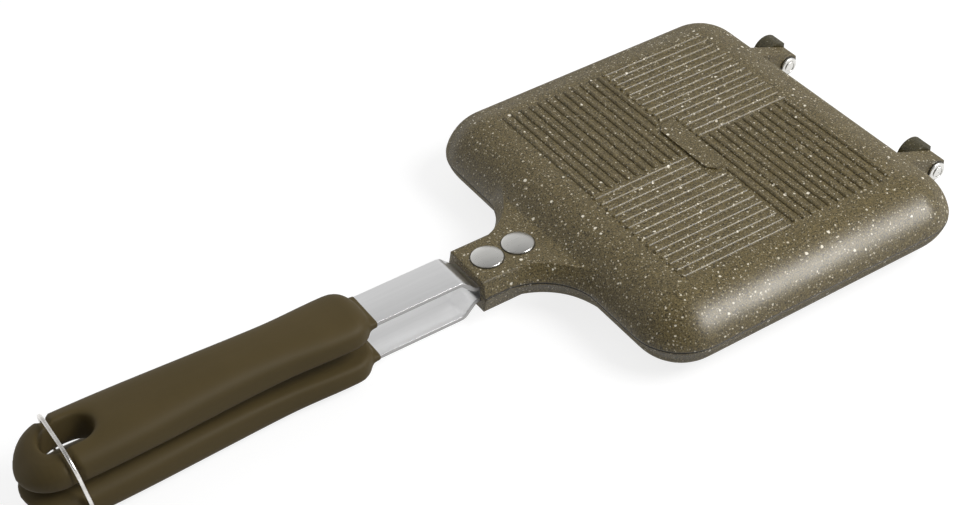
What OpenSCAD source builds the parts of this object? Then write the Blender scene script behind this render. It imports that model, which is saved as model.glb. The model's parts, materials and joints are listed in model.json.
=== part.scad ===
// Camping sandwich iron. Two plate castings, alike but for the hooks of their hinge ears, lie
// face to face and are hinged at the far edge. Each half carries a riveted steel strap with a
// soft grip, and a wire clip on the lower grip swings over the upper one to hold the iron shut.
// Millimetres. +X points from the handle to the hinges, +Y across the handle, +Z up. The origin
// is the centre of the pad under the lower plate, on the surface that the iron stands on.

/* [Plates] */
// Length of a plate along the handle line
plate_length = 138.5; // [125:0.5:165]
// Width of a plate across the handle line
plate_width = 155; // [140:1:185]
// Height of one plate from the closing plane to its flat outer face
plate_height = 15.3; // [14:0.1:19]
// Distance that the rounded shoulder runs in from the edge
shoulder_run = 19.5; // [17:0.5:24]
// Upright edge of the rim beside the closing plane
rim_height = 0.6; // [0.4:0.1:2]
// Radius left at the corners of the flat outer face
face_corner_radius = 0.5; // [0.5:0.5:6]
// Thickness of the cast wall
wall = 3; // [2.2:0.1:4]
// Gap between the two rims when the iron is closed
seam_gap = 0.2; // [0.1:0.05:0.6]

/* [Ribs] */
// Distance from one rib to the next
rib_pitch = 4; // [3:0.1:6]
// Width of a rib at its foot
rib_width = 2; // [1.2:0.1:2.6]
// Height of the ribs and the centre pad above the flat face
rib_height = 0.9; // [0.5:0.05:1]
// Distance from the cross line to the first rib that runs across the handle line
first_cross_rib = 2.5; // [2:0.1:5]
// Distance from the long line to the first rib that runs along the handle line
first_long_rib = 4; // [3:0.1:6]
// Plain border between the ribs and the edge of the flat face
rib_border = 1.5; // [1.2:0.1:4]
// Length of the bare pad at the middle of the face
pad_length = 33; // [20:1:50]
// Width of the bare pad at the middle of the face
pad_width = 8.4; // [5:0.2:14]

/* [Tang] */
// Distance that the tang stands out from the plate's edge
tang_length = 31; // [28:0.5:45]
// Width of the tang across its top
tang_width = 20.7; // [19.5:0.1:28]
// Distance that each side of the tang spreads from its top to the closing plane
tang_draft = 1.8; // [0.5:0.1:2.5]
// Height of one tang from the closing plane to its top
tang_height = 6.9; // [5.8:0.1:8]
// Thickness of the tang's roof over the strap
tang_roof = 3.5; // [2:0.1:4]
// Radius of the sweep from the tang's side into the plate's edge
tang_sweep = 24; // [14:0.5:28]
// Radius of the hollow between the tang's top and the plate's shoulder
tang_hollow = 12; // [8:0.5:14]

/* [Straps] */
// Width of a strap
strap_width = 16.4; // [12:0.1:18]
// Thickness of a strap
strap_thickness = 1.6; // [1:0.1:2]
// Height of a strap's outer face above the closing plane, between tang and grip
strap_level = 8.5; // [6.5:0.1:9.5]
// Steepness of the strap where it rises out of the tang
strap_slope = 45; // [25:1:50]
// Inner radius of the strap's two bends
strap_bend = 2.5; // [1.5:0.1:3]
// Length of strap that shows between tang and grip
strap_showing = 42.8; // [30:0.2:70]
// Distance from the strap's inner end to the plate's edge
strap_inset = 3; // [1:0.5:5]
// Length of strap inside the grip
strap_in_grip = 92; // [40:1:95]
// Clearance on each side of the strap in the tang
strap_fit = 0.15; // [0.05:0.05:0.4]

/* [Rivets] */
// Diameter of a rivet's domed head
rivet_head_diameter = 12; // [8:0.2:13]
// Height of a rivet's head
rivet_head_height = 1.7; // [1:0.1:3]
// Upright edge of a rivet's head
rivet_head_edge = 0.5; // [0.2:0.1:0.8]
// Diameter of a rivet's shank
rivet_diameter = 5; // [3:0.1:6]
// Diameter of the closed end under the strap
rivet_tail_diameter = 8; // [6.5:0.2:9]
// Height of the closed end under the strap
rivet_tail_height = 1.1; // [0.4:0.1:1.3]
// Distance between the two rivets
rivet_spacing = 13.1; // [13:0.1:14]
// Distance from the tang's end to the first rivet
rivet_from_end = 8.8; // [7:0.1:9.5]
// Clearance round a rivet's shank
rivet_fit = 0.02; // [0.01:0.01:0.1]

/* [Hinges] */
// Distance between the middles of the two hinges
hinge_spacing = 85.4; // [50:0.2:100]
// Distance from the plate's edge to the pin's axis
pin_offset = 8; // [7.6:0.1:12]
// Diameter of a hinge pin
pin_diameter = 4; // [3:0.1:5]
// Clearance round the pin in the ears
pin_clearance = 0.05; // [0.02:0.01:0.1]
// Diameter of the pin's head
pin_head_diameter = 7.4; // [6.4:0.1:8]
// Height of the pin's head
pin_head_height = 1.7; // [1:0.1:3]
// Height of the pin's closed end
pin_tail_height = 0.8; // [0.4:0.1:2]
// Width of each hinge ear
ear_width = 7.2; // [5:0.1:12]
// Gap between the two ears of a hinge
ear_gap = 0.3; // [0.1:0.05:0.6]
// Radius of the lower ears' hook round the pin
lower_hook = 6.4; // [5:0.1:7]
// Radius of the upper ears' hook round the pin
upper_hook = 4.7; // [4.2:0.1:7]
// Metal left outside the pin at the ear's end
ear_end_wall = 2; // [1.2:0.1:2.2]
// Height of the ear's top above the pin's axis at its end
ear_top = 3.4; // [2.8:0.1:4.5]
// Slope of the ear's top
ear_slope = 21; // [14:1:23]
// Radius of the rounded corner at the ear's end
ear_corner = 1.5; // [0.5:0.1:2.2]

/* [Grips] */
// Length of a grip
grip_length = 128; // [118:0.5:160]
// Width of a grip at its rounded end
grip_end_width = 28.4; // [27:0.2:34]
// Width of a grip at its waist
grip_waist_width = 21.8; // [20:0.2:27]
// Width of a grip at its front
grip_front_width = 24.4; // [22:0.2:30]
// Distance from the grip's front to its waist
grip_waist_place = 36.5; // [25:0.5:45]
// Height of a grip's top above the closing plane at its rounded end
grip_end_height = 15.7; // [15:0.1:15.8]
// Height of a grip's top above the closing plane where the palm rests
grip_palm_height = 16; // [15:0.1:16]
// Height of a grip's top above the closing plane at its front
grip_front_height = 14.3; // [12.5:0.1:16]
// Height of a grip's underside above the closing plane at its rounded end
grip_end_gap = 0.9; // [0.4:0.1:2]
// Height of a grip's underside above the closing plane at its front
grip_front_gap = 3.2; // [1:0.1:4]
// Length of the hanging hole
hole_length = 18.5; // [14:0.5:19]
// Width of the hanging hole
hole_width = 12.5; // [8:0.5:14]
// Distance from the grip's end to the middle of the hanging hole
hole_from_end = 19.2; // [18:0.1:21]
// Distance that the collar round the strap stands out of the grip's front
collar_length = 1.8; // [0.5:0.1:4]
// Thickness of the collar round the strap
collar_wall = 0.6; // [0.3:0.1:1]

/* [Wire clip] */
// Diameter of the wire
wire_diameter = 1.4; // [1:0.1:1.6]
// Distance from the grip's end to the wire's top bar
clip_from_end = 15; // [14.5:0.1:16]
// Distance that the clip's pivot stands nearer to the plates than its top bar
clip_lean = 3.3; // [2:0.1:4]
// Distance of the clip's pivot below the closing plane
clip_pivot_depth = 9; // [8:0.1:10]
// Gap between the wire and the grips
clip_gap = 0.3; // [0.2:0.05:0.6]
// Depth of the groove in which the wire lies
groove_depth = 0.7; // [0.5:0.05:1]
// Width of the groove in which the wire lies
groove_width = 2.2; // [2:0.1:3]
// Length of wire inside the lower grip on each side
clip_stub = 4.2; // [2.5:0.1:4.2]
// Clearance round the wire in its bores
clip_clearance = 0.05; // [0.03:0.01:0.1]

/* [Hidden] */
$fn = 96;
overshoot = 1;

coating_color = [0.37, 0.33, 0.25];
steel_color = [0.75, 0.75, 0.77];
rivet_color = [0.82, 0.82, 0.83];
grip_color = [0.30, 0.26, 0.17];

// Plate outline, shoulder arc and the level of the closing plane
half_length = plate_length / 2;
half_width = plate_width / 2;
corner_radius = shoulder_run + face_corner_radius;
shoulder_rise = plate_height - rim_height;
shoulder_radius = (shoulder_run * shoulder_run + shoulder_rise * shoulder_rise) / (2 * shoulder_rise);
shoulder_centre_z = plate_height - shoulder_radius;
closing_z = plate_height + rib_height;
rim_z = seam_gap / 2;

tang_foot = tang_width / 2 + tang_draft;

// Places along the handle, measured from the plate's middle towards the handle
tang_end = half_length + tang_length;
strap_start = half_length + strap_inset;
rear_rivet_place = tang_end - rivet_from_end;
front_rivet_place = rear_rivet_place - rivet_spacing;
grip_front = tang_end + strap_showing;
grip_end = grip_front + grip_length;
strap_end = grip_front + strap_in_grip;
hole_place = grip_end - hole_from_end;

// Strap levels and the S bend between tang and grip
strap_seat = tang_height - tang_roof;
strap_rise = strap_level - strap_seat;
bend_mid = strap_bend + strap_thickness / 2;
bend_start = tang_end + 0.3;
slope_length = (strap_rise - 2 * bend_mid * (1 - cos(strap_slope))) / sin(strap_slope);

// Hinge places
pin_x = half_length + pin_offset;
pin_radius = pin_diameter / 2;
ear_end = pin_radius + ear_end_wall;
hinge_places = [-hinge_spacing / 2, hinge_spacing / 2];

// Clip geometry: the top bar lies over the groove, the pivot is lower and nearer to the plates
wire_radius = wire_diameter / 2;
groove_place = grip_length - clip_from_end;
groove_floor = grip_end_height - groove_depth;
bar_z = groove_floor + clip_gap + wire_radius + 0.1;
pivot_place = grip_end - clip_from_end - clip_lean;
leg_y = grip_end_width / 2 + clip_gap + wire_radius;
clip_height = sqrt(pow(bar_z + clip_pivot_depth, 2) + pow(clip_lean, 2));
clip_angle = atan(clip_lean / (bar_z + clip_pivot_depth));
bar_bend = 9;
stub_bend = 1.2;

// Rounded knob behind the groove. Its top follows the circle that the clip's bar swings through.
knob_start = groove_place + groove_width / 2;
knob_reach = grip_length - knob_start;
knob_top = grip_end_height - groove_depth - 0.4;
knob_middle = 4;
knob_radius = sqrt(pow(knob_top + clip_pivot_depth, 2) + pow(clip_lean + groove_width / 2, 2));

// Blend from a to b while t goes from 0 to 1, level at both ends
function ease(a, b, t) = a + (b - a) * (1 - cos(180 * max(0, min(1, t)))) / 2;

// ---------- Plate ----------

// Cross-section of the plate's shell for a half span, taken in by inset from the outer surface.
// It is a flat face with the shoulder arc on both sides, cut upright at the rim.
module shell_section(half_span, inset) {
    foot = -(inset > 0 ? overshoot : -rim_z);
    arc_x = half_span - shoulder_run;
    top = plate_height - inset;
    translate([-arc_x, foot])
        square([2 * arc_x, top - foot]);
    for (side = [-1, 1])
        scale([side, 1])
            intersection() {
                translate([arc_x, shoulder_centre_z])
                    circle(r = shoulder_radius - inset);
                translate([arc_x - 0.01, foot])
                    square([shoulder_run - inset + 0.01, top - foot]);
            }
}

// Domed shell: both spans extruded and a turned corner at each corner of the outline.
module shell(inset) {
    rotate([90, 0, 0])
        linear_extrude(height = 2 * (half_width - corner_radius), center = true)
            shell_section(half_length, inset);
    rotate([90, 0, 90])
        linear_extrude(height = 2 * (half_length - corner_radius), center = true)
            shell_section(half_width, inset);
    for (x = [-1, 1], y = [-1, 1])
        translate([x * (half_length - corner_radius), y * (half_width - corner_radius), 0])
            rotate_extrude()
                intersection() {
                    shell_section(corner_radius, inset);
                    translate([0, -2 * overshoot])
                        square([corner_radius, plate_height + 4 * overshoot]);
                }
}

// A raised rib with a round back and round ends, from start to finish along X.
module rib(start, finish) {
    back_radius = (pow(rib_width / 2, 2) + pow(rib_height, 2)) / (2 * rib_height);
    sink = back_radius - rib_height;
    span = finish - start;
    translate([start, 0, plate_height - sink])
        rotate([90, 0, 90])
            rotate_extrude()
                intersection() {
                    union() {
                        translate([0, back_radius])
                            circle(r = back_radius, $fn = 48);
                        translate([0, span - back_radius])
                            circle(r = back_radius, $fn = 48);
                        translate([0, back_radius])
                            square([back_radius, span - 2 * back_radius]);
                    }
                    square([back_radius, span]);
                }
}

// Two quarters of the pinwheel: long ribs in one, cross ribs in the next.
module rib_pair() {
    face_x = half_length - shoulder_run - rib_border;
    face_y = half_width - shoulder_run - rib_border;
    pad_x = pad_width / 2 + 0.9;
    pad_y = pad_length / 2 + 1;
    for (y = [first_long_rib : rib_pitch : face_y])
        translate([0, y, 0])
            rib(y < pad_y ? pad_x : -0.5, face_x);
    for (x = [first_cross_rib : rib_pitch : face_x])
        translate([-x, 0, 0])
            rotate([0, 0, 90])
                rib(x < pad_x ? pad_y : rib_width / 2 + 0.6 - first_long_rib, face_y);
}

// Bare raised pad at the middle of the face, with clipped corners.
module centre_pad() {
    clip = pad_width / 3;
    x = pad_width / 2;
    y = pad_length / 2;
    translate([0, 0, plate_height - 0.5])
        linear_extrude(height = rib_height + 0.5)
            polygon([[-x + clip, -y], [x - clip, -y], [x, -y + clip], [x, y - clip],
                     [x - clip, y], [-x + clip, y], [-x, y - clip], [-x, -y + clip]]);
}

// Side view of the tang with its apron: level top, then a hollow up into the shoulder.
module tang_side_view() {
    hollow_z = tang_height + tang_hollow;
    reach = shoulder_radius + tang_hollow - 0.04;
    hollow_x = half_length - shoulder_run
        + sqrt(pow(reach, 2) - pow(hollow_z - shoulder_centre_z, 2));
    join_z = shoulder_centre_z + (hollow_z - shoulder_centre_z) * shoulder_radius / reach;
    inner_x = half_length - shoulder_run * 0.4;
    translate([inner_x, rim_z])
        square([half_length + tang_sweep - inner_x, tang_height - rim_z]);
    difference() {
        translate([inner_x, tang_height - 0.5])
            square([hollow_x - inner_x, join_z - tang_height + 0.5]);
        translate([hollow_x, hollow_z])
            circle(r = tang_hollow);
    }
}

// Space beside the tang. Its turned wall follows the plate's own edge at every height.
module tang_sweep_cut() {
    wall_r = tang_sweep + 0.3;
    arc_r = wall_r + shoulder_run;
    rotate_extrude()
        difference() {
            translate([0, -overshoot])
                square([arc_r, plate_height + overshoot]);
            intersection() {
                translate([arc_r, shoulder_centre_z])
                    circle(r = shoulder_radius);
                translate([wall_r, -2 * overshoot])
                    square([shoulder_run + 1, plate_height + 3 * overshoot]);
            }
        }
}

// Tang: a tongue with sloping sides that sweeps out into the plate's edge on both sides.
module tang() {
    difference() {
        mirror([1, 0, 0])
            rotate([90, 0, 0])
                linear_extrude(height = 2 * (tang_foot + tang_sweep), center = true)
                    tang_side_view();
        for (side = [-1, 1])
            translate([-half_length - tang_sweep, side * (tang_foot + tang_sweep), 0])
                tang_sweep_cut();
    }
    translate([-tang_end, 0, 0])
        rotate([90, 0, 90])
            linear_extrude(height = tang_length + shoulder_run * 0.3)
                polygon([[-tang_foot, rim_z], [tang_foot, rim_z],
                         [tang_width / 2, tang_height], [-tang_width / 2, tang_height]]);
}

// Channel under the tang's roof for the strap, with the two rivet holes.
module tang_channel() {
    channel_start = strap_start - strap_fit;
    translate([-tang_end - overshoot, -strap_width / 2 - strap_fit, -overshoot])
        cube([tang_end + overshoot - channel_start, strap_width + 2 * strap_fit,
              strap_seat + overshoot]);
    for (place = [front_rivet_place, rear_rivet_place])
        translate([-place, 0, 0])
            cylinder(h = tang_height + overshoot, r = rivet_diameter / 2 + rivet_fit);
}

// Side view of a hinge ear: an arm that slopes down from the shoulder to a rounded end, and a
// hook of the given radius round the pin.
module ear_side_view(hook) {
    end_x = pin_x + ear_end;
    root_x = half_length - shoulder_run * 0.45;
    root_z = ear_top + (end_x - root_x) * tan(ear_slope);
    corner_z = ear_top + ear_corner * (tan(ear_slope) - 1 / cos(ear_slope));
    intersection() {
        union() {
            translate([pin_x, 0])
                circle(r = hook);
            translate([root_x, rim_z])
                square([end_x - root_x, plate_height]);
        }
        polygon(concat(
            [[root_x, rim_z], [half_length, rim_z], [half_length, -hook - overshoot],
             [end_x, -hook - overshoot]],
            arc_points(end_x - ear_corner, corner_z, ear_corner, 0, 90 - ear_slope),
            [[root_x, root_z]]));
    }
}

// One ear of a hinge, drilled for the pin.
module ear(hook) {
    rotate([90, 0, 0])
        linear_extrude(height = ear_width)
            difference() {
                ear_side_view(hook);
                translate([pin_x, 0])
                    circle(r = pin_radius + pin_clearance);
            }
}

// The plate casting: shell, ribs, tang and two hinge ears.
module casting(hook) {
    difference() {
        union() {
            difference() {
                union() {
                    shell(0);
                    tang();
                }
                shell(wall);
            }
            centre_pad();
            for (turn = [0, 180])
                rotate([0, 0, turn])
                    rib_pair();
        }
        tang_channel();
    }
    for (y = hinge_places)
        translate([0, y - ear_gap / 2, 0])
            difference() {
                ear(hook);
                translate([0, ear_gap / 2 - y, 0])
                    shell(wall);
            }
}

// ---------- Strap and rivets ----------

// Points along an arc about (x, z), from angle a to angle b
function arc_points(x, z, r, a, b) =
    let (steps = 10)
    [for (i = [0 : steps])
        let (t = a + (b - a) * i / steps)
        [x + r * cos(t), z + r * sin(t)]];

// Side view of the strap: flat in the tang, an S bend outwards, flat into the grip.
// It is one outline, along the strap's underside and back along its top.
module strap_side_view() {
    half_t = strap_thickness / 2;
    inner_r = bend_mid - half_t;
    outer_r = bend_mid + half_t;
    low_bend_z = strap_seat - half_t + bend_mid;
    high_bend_z = strap_level - half_t - bend_mid;
    high_bend_x = bend_start + 2 * bend_mid * sin(strap_slope) + slope_length * cos(strap_slope);
    polygon(concat(
        [[strap_start, strap_seat - strap_thickness]],
        arc_points(bend_start, low_bend_z, outer_r, -90, strap_slope - 90),
        arc_points(high_bend_x, high_bend_z, inner_r, strap_slope + 90, 90),
        [[strap_end, strap_level - strap_thickness], [strap_end, strap_level]],
        arc_points(high_bend_x, high_bend_z, outer_r, 90, strap_slope + 90),
        arc_points(bend_start, low_bend_z, inner_r, strap_slope - 90, -90),
        [[strap_start, strap_seat]]));
}

module strap() {
    difference() {
        mirror([1, 0, 0])
            rotate([90, 0, 0])
                linear_extrude(height = strap_width, center = true)
                    strap_side_view();
        for (place = [front_rivet_place, rear_rivet_place])
            translate([-place, 0, -overshoot])
                cylinder(h = tang_height + 2 * overshoot, r = rivet_diameter / 2 + rivet_fit);
    }
}

// Domed rivet, with its head on the tang and its closed end under the strap.
module rivet(place) {
    head_radius = rivet_head_diameter / 2;
    dome = rivet_head_height - rivet_head_edge;
    dome_radius = (head_radius * head_radius + dome * dome) / (2 * dome);
    translate([-place, 0, 0])
        rotate_extrude() {
            translate([0, strap_seat - strap_thickness - rivet_tail_height])
                square([rivet_tail_diameter / 2, rivet_tail_height]);
            translate([0, strap_seat - strap_thickness - 0.5])
                square([rivet_diameter / 2, tang_roof + strap_thickness + 1]);
            translate([0, tang_height])
                square([head_radius, rivet_head_edge]);
            intersection() {
                translate([0, tang_height + rivet_head_height - dome_radius])
                    circle(r = dome_radius);
                translate([0, tang_height])
                    square([head_radius, rivet_head_height]);
            }
        }
}

// ---------- Grip ----------

// Half width of the grip at distance d from its front
function grip_half_width(d) =
    let (end_r = grip_end_width / 2,
         front_d = 10,
         wide_d = grip_length - 18,
         full = d < grip_waist_place
             ? ease(grip_front_width, grip_waist_width, (d - front_d) / (grip_waist_place - front_d)) / 2
             : ease(grip_waist_width, grip_end_width, (d - grip_waist_place) / (wide_d - grip_waist_place)) / 2,
         round_r = 9.2,
         tail = max(0, d - (grip_length - end_r)) / end_r)
    d < round_r
        ? full - round_r + sqrt(pow(round_r, 2) - pow(round_r - d, 2))
        : full * sqrt(max(0, 1 - tail * tail));

// Height of the grip's top at distance d from its front
function grip_top(d) =
    let (palm_d = 62,
         end_d = grip_length - 18,
         round_r = 6.5,
         full = d < palm_d
             ? ease(grip_front_height, grip_palm_height, (d - 6) / (palm_d - 6))
             : ease(grip_palm_height, grip_end_height, (d - palm_d) / (end_d - palm_d)))
    d < round_r ? full - round_r + sqrt(pow(round_r, 2) - pow(round_r - d, 2)) : full;

// Height of the grip's underside at distance d from its front
function grip_underside(d) =
    let (round_r = 2,
         full = ease(grip_front_gap, grip_end_gap, d / (grip_length - 20)))
    d < round_r ? full + round_r - sqrt(pow(round_r, 2) - pow(round_r - d, 2)) : full;

// Height of the knob's top at distance d: the clip's circle, closed down at the tip
function knob_height(d) =
    let (arc = sqrt(pow(knob_radius, 2) - pow(d - groove_place + clip_lean, 2)) - clip_pivot_depth,
         u = min(1, max(0, d - knob_start) / knob_reach))
    knob_middle + (arc - knob_middle) * sqrt(1 - pow(u, 5));

// Height of the knob's underside at distance d, closed up at the tip
function knob_underside(d) =
    let (u = min(1, max(0, d - knob_start) / knob_reach))
    knob_middle - (knob_middle - grip_end_gap) * sqrt(1 - pow(u, 3));

// Fullness of the section's lower corners at distance d: square at the front, rounder at the end
function lower_fullness(d) = ease(6, 3.2, (d - 30) / (grip_length - 50));

// Ring of the grip's skin at distance d: a rounded section, softer above than below.
// drop lowers the skin for the groove and the knob behind it.
function grip_ring(d, drop, knob) =
    let (sides = 36,
         high = knob ? knob_height(d) : grip_top(d) - drop,
         low = knob ? knob_underside(d) : grip_underside(d),
         half_w = grip_half_width(d) - drop,
         mid = (high + low) / 2,
         half_h = (high - low) / 2)
    [for (i = [0 : sides - 1])
        let (a = 360 * (i + 0.5) / sides,
             c = cos(a),
             s = sin(a),
             power = 2 / (s > 0 ? 2.7 : lower_fullness(d)))
        [-grip_front - d, half_w * sign(c) * pow(abs(c), power), mid + half_h * sign(s) * pow(abs(s), power)]];

// Closed skin through a list of rings that all have the same number of points.
module loft(rings) {
    count = len(rings);
    sides = len(rings[0]);
    polyhedron(
        points = [for (ring = rings, p = ring) p],
        faces = concat(
            [[for (i = [sides - 1 : -1 : 0]) i]],
            [for (r = [0 : count - 2], i = [0 : sides - 1])
                let (j = (i + 1) % sides)
                [r * sides + i, (r + 1) * sides + j, (r + 1) * sides + i]],
            [for (r = [0 : count - 2], i = [0 : sides - 1])
                let (j = (i + 1) % sides)
                [r * sides + i, r * sides + j, (r + 1) * sides + j]],
            [[for (i = [0 : sides - 1]) (count - 1) * sides + i]]));
}

// Rounded skin of the grip, with the groove for the wire and the knob behind it.
module grip_skin() {
    groove_start = groove_place - groove_width / 2;
    front_stations = [0.02, 0.25, 0.7, 1.4, 2.4, 3.6, 5, 6.8];
    body_steps = 22;
    body_start = 9.2;
    body_end = groove_start - 0.1;
    knob_steps = 9;
    knob_tip = 0.9985;
    loft(concat(
        [for (d = front_stations) grip_ring(d, 0, false)],
        [for (i = [0 : body_steps])
            grip_ring(body_start + (body_end - body_start) * i / body_steps, 0, false)],
        [grip_ring(groove_start, groove_depth, false)],
        [grip_ring(knob_start - 0.1, groove_depth, false)],
        [for (i = [0 : knob_steps])
            grip_ring(knob_start + knob_reach * knob_tip * sin(90 * i / knob_steps), 0.4, true)]));
}

// Soft grip with a collar and a pocket for the strap, and the hanging hole. The lower one also
// has two blind bores for the clip's ends.
module grip(clip_bores) {
    straight = hole_length - hole_width;
    bore_length = clip_stub + 2 * overshoot;
    difference() {
        union() {
            grip_skin();
            translate([-grip_front - 8, -strap_width / 2 - collar_wall,
                       strap_level - strap_thickness - collar_wall])
                cube([8 + collar_length, strap_width + 2 * collar_wall,
                      strap_thickness + 2 * collar_wall]);
        }
        translate([-strap_end, -strap_width / 2, strap_level - strap_thickness])
            cube([strap_in_grip + collar_length + overshoot, strap_width, strap_thickness]);
        for (end = [-1, 1])
            translate([-hole_place + end * straight / 2, 0, -overshoot])
                cylinder(h = grip_end_height + 3 * overshoot, r = hole_width / 2);
        translate([-hole_place - straight / 2, -hole_width / 2, -overshoot])
            cube([straight, hole_width, grip_end_height + 3 * overshoot]);
        if (clip_bores)
            for (side = [-1, 1])
                translate([-pivot_place, side * (grip_end_width / 2 - clip_stub - clip_gap), clip_pivot_depth])
                    rotate([-90 * side, 0, 0])
                        cylinder(h = bore_length, r = wire_radius + clip_clearance, $fn = 48);
    }
}

// ---------- Hinge pin and clip ----------

// Hinge pin along +Y: domed head, shank through both ears, closed end behind the second ear.
module hinge_pin() {
    shank = 2 * ear_width + ear_gap + 0.1;
    head_radius = pin_head_diameter / 2;
    edge = pin_head_height * 0.5;
    dome = pin_head_height - edge;
    dome_radius = (head_radius * head_radius + dome * dome) / (2 * dome);
    rotate([-90, 0, 0])
        rotate_extrude() {
            translate([0, -0.5])
                square([pin_radius, shank + 0.5 + pin_tail_height]);
            translate([0, shank])
                square([pin_radius + 0.9, pin_tail_height]);
            translate([0, -edge])
                square([head_radius, edge]);
            intersection() {
                translate([0, dome_radius - pin_head_height])
                    circle(r = dome_radius);
                translate([0, -pin_head_height])
                    square([head_radius, pin_head_height]);
            }
        }
}

// Straight piece of wire of a given length along +Z
module wire(length) {
    cylinder(h = length, r = wire_radius, $fn = 48);
}

// Quarter bend of wire that leaves along +Z and turns towards +X
module wire_bend(radius) {
    translate([radius, 0, 0])
        rotate([90, 0, 0])
            rotate_extrude(angle = -90)
                translate([-radius, 0])
                    circle(r = wire_radius, $fn = 48);
}

// Bail of wire: two ends in the grip's bores, two legs, and the bar that lies over both grips.
module wire_clip_shape() {
    leg = clip_height - bar_bend - stub_bend;
    bore_depth = grip_end_width / 2 - (clip_stub + clip_gap) + clip_gap;
    stub = leg_y - stub_bend - bore_depth;
    for (side = [0, 1])
        mirror([0, side, 0])
            translate([0, -leg_y, 0])
                rotate([0, 0, 90]) {
                    translate([0, 0, stub_bend])
                        wire(leg);
                    translate([0, 0, clip_height - bar_bend])
                        wire_bend(bar_bend);
                    translate([bar_bend, 0, clip_height])
                        rotate([0, 90, 0])
                            wire(leg_y - bar_bend);
                    mirror([0, 0, 1])
                        translate([0, 0, -stub_bend])
                            wire_bend(stub_bend);
                    translate([stub_bend, 0, 0])
                        rotate([0, 90, 0])
                            wire(stub);
                }
}

// ---------- Assembly ----------

// The upper half is drawn as it lies. The lower half is the same half turned over about X.
module upper_half() {
    translate([0, 0, closing_z])
        children();
}

module lower_half() {
    translate([0, 0, closing_z])
        rotate([180, 0, 0])
            children();
}

module hinge_pin_at(y) {
    translate([pin_x, y - ear_gap / 2 - ear_width, closing_z])
        hinge_pin();
}

module lower_plate() {
    color(coating_color)
        lower_half()
            casting(lower_hook);
}

module upper_plate() {
    color(coating_color)
        upper_half()
            casting(upper_hook);
}

module lower_strap() {
    color(steel_color)
        lower_half()
            strap();
}

module upper_strap() {
    color(steel_color)
        upper_half()
            strap();
}

module lower_grip() {
    color(grip_color)
        lower_half()
            grip(true);
}

module upper_grip() {
    color(grip_color)
        upper_half()
            grip(false);
}

module lower_front_rivet() {
    color(rivet_color)
        lower_half()
            rivet(front_rivet_place);
}

module lower_rear_rivet() {
    color(rivet_color)
        lower_half()
            rivet(rear_rivet_place);
}

module upper_front_rivet() {
    color(rivet_color)
        upper_half()
            rivet(front_rivet_place);
}

module upper_rear_rivet() {
    color(rivet_color)
        upper_half()
            rivet(rear_rivet_place);
}

module near_hinge_pin() {
    color(rivet_color)
        hinge_pin_at(hinge_places[0]);
}

module far_hinge_pin() {
    color(rivet_color)
        hinge_pin_at(hinge_places[1]);
}

module wire_clip() {
    color(steel_color)
        translate([-pivot_place, 0, closing_z - clip_pivot_depth])
            rotate([0, -clip_angle, 0])
                wire_clip_shape();
}

lower_plate();
upper_plate();
lower_strap();
upper_strap();
lower_grip();
upper_grip();
lower_front_rivet();
lower_rear_rivet();
upper_front_rivet();
upper_rear_rivet();
near_hinge_pin();
far_hinge_pin();
wire_clip();
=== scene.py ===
# %% [markdown]
# # A camping sandwich iron, dressed for its picture
# The iron has been built as solid parts already: two cast plates, two steel straps, two soft
# grips, rivets, hinge pins and a bent wire clip. This lesson loads those parts as a fixed frame
# and gives each one the finish of the real thing. Lengths are in metres, +X runs from the handle
# to the hinges, and +Z is up.

# %% Load the frame
import json
import math
import bmesh
import bpy
from mathutils import Matrix, Vector
from mathutils.bvhtree import BVHTree

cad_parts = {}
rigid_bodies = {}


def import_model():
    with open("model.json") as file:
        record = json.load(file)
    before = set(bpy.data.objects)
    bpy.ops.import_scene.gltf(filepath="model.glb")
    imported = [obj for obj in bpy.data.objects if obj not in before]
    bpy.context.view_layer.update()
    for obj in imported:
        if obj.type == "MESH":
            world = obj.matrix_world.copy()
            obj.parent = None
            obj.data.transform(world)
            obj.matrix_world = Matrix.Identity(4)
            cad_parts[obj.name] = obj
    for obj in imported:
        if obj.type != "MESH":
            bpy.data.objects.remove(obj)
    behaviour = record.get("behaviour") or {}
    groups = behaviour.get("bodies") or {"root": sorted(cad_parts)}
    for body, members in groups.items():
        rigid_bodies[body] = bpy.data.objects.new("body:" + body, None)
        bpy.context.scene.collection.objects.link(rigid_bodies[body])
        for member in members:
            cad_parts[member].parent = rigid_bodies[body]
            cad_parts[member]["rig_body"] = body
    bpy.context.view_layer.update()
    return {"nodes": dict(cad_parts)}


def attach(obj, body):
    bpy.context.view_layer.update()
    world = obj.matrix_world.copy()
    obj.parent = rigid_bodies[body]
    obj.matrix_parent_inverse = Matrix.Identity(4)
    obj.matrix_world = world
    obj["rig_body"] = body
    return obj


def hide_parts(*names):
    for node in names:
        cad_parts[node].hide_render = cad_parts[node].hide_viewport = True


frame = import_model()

MM = 0.001
nodes = frame["nodes"]

# %% [markdown]
# ## Camera
# The picture was taken from the handle's side, about forty degrees above the table. The camera is
# placed by its own three directions, which is exact. A target to look at would lose the slight
# roll that the picture has.

# %% Camera
camera_data = bpy.data.cameras.new("camera")
camera = bpy.data.objects.new("camera", camera_data)
bpy.context.scene.collection.objects.link(camera)
bpy.context.scene.camera = camera

camera_place = Vector((-0.355777, -0.434940, 0.459861))
to_the_right = Vector((0.833187, -0.551894, -0.034815)).normalized()
upwards = Vector((0.381434, 0.527980, 0.758779)).normalized()
backwards = to_the_right.cross(upwards).normalized()
upwards = backwards.cross(to_the_right)
camera.matrix_world = Matrix((
    (to_the_right.x, upwards.x, backwards.x, camera_place.x),
    (to_the_right.y, upwards.y, backwards.y, camera_place.y),
    (to_the_right.z, upwards.z, backwards.z, camera_place.z),
    (0, 0, 0, 1)))

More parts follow.
